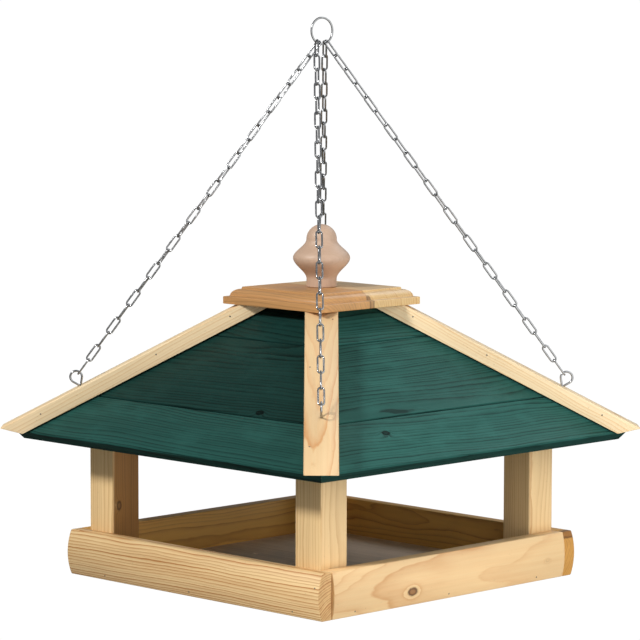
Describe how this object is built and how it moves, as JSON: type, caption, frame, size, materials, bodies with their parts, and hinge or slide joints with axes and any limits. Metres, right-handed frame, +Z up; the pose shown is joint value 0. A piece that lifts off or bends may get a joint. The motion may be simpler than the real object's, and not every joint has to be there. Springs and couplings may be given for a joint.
{
  "type": "hanging bird table",
  "caption": "Square wooden bird tray with corner posts under a hipped board roof with cap and turned finial, hung by chains from one steel ring.",
  "frame": {"origin": "inside top of the hanging ring, where the hook bears", "axes": "+Z up along the line the table hangs on, X and Y parallel to the sides of the tray"},
  "size_m": [0.6169, 0.6169, 0.7234],
  "materials": {
    "pine": "oiled pine, satin",
    "heartwood_pine": "pine with heartwood streaks, satin",
    "beech": "turned beech, satin",
    "green_board": "dark green stain, matt",
    "floor_board": "grey-brown panel, matt",
    "zinc_steel": "bright zinc plated"
  },
  "bodies": {
    "ring": {"hanging_ring": "zinc_steel"},
    "feeder": {"chain_front": "zinc_steel", "chain_right": "zinc_steel", "chain_back": "zinc_steel", "chain_left": "zinc_steel", "screw_eye_front": "zinc_steel", "screw_eye_right": "zinc_steel", "screw_eye_back": "zinc_steel", "screw_eye_left": "zinc_steel", "finial": "beech", "finial_dowel": "beech", "cap_plate": "heartwood_pine", "king_block": "pine", "hip_batten_front": "pine", "hip_batten_right": "pine", "hip_batten_back": "pine", "hip_batten_left": "pine", "hip_rafter_front": "pine", "hip_rafter_right": "pine", "hip_rafter_back": "pine", "hip_rafter_left": "pine", "roof_board_front_lower": "green_board", "roof_board_front_middle": "green_board", "roof_board_front_upper": "green_board", "roof_board_right_lower": "green_board", "roof_board_right_middle": "green_board", "roof_board_right_upper": "green_board", "roof_board_back_lower": "green_board", "roof_board_back_middle": "green_board", "roof_board_back_upper": "green_board", "roof_board_left_lower": "green_board", "roof_board_left_middle": "green_board", "roof_board_left_upper": "green_board", "corner_post_front": "pine", "corner_post_right": "pine", "corner_post_back": "pine", "corner_post_left": "pine", "post_screw_front": "zinc_steel", "post_screw_right": "zinc_steel", "post_screw_back": "zinc_steel", "post_screw_left": "zinc_steel", "tray_rail_front": "pine", "tray_rail_right": "pine", "tray_rail_back": "pine", "tray_rail_left": "pine", "tray_floor": "floor_board"}
  },
  "joints": [
    {"name": "feeder_swing", "type": "hinge", "parent": "ring", "child": "feeder", "pos_m": [0, 0, -0.03105], "axis": [0.1305, 0.9914, 0], "range_deg": [-30, 30]}
  ]
}
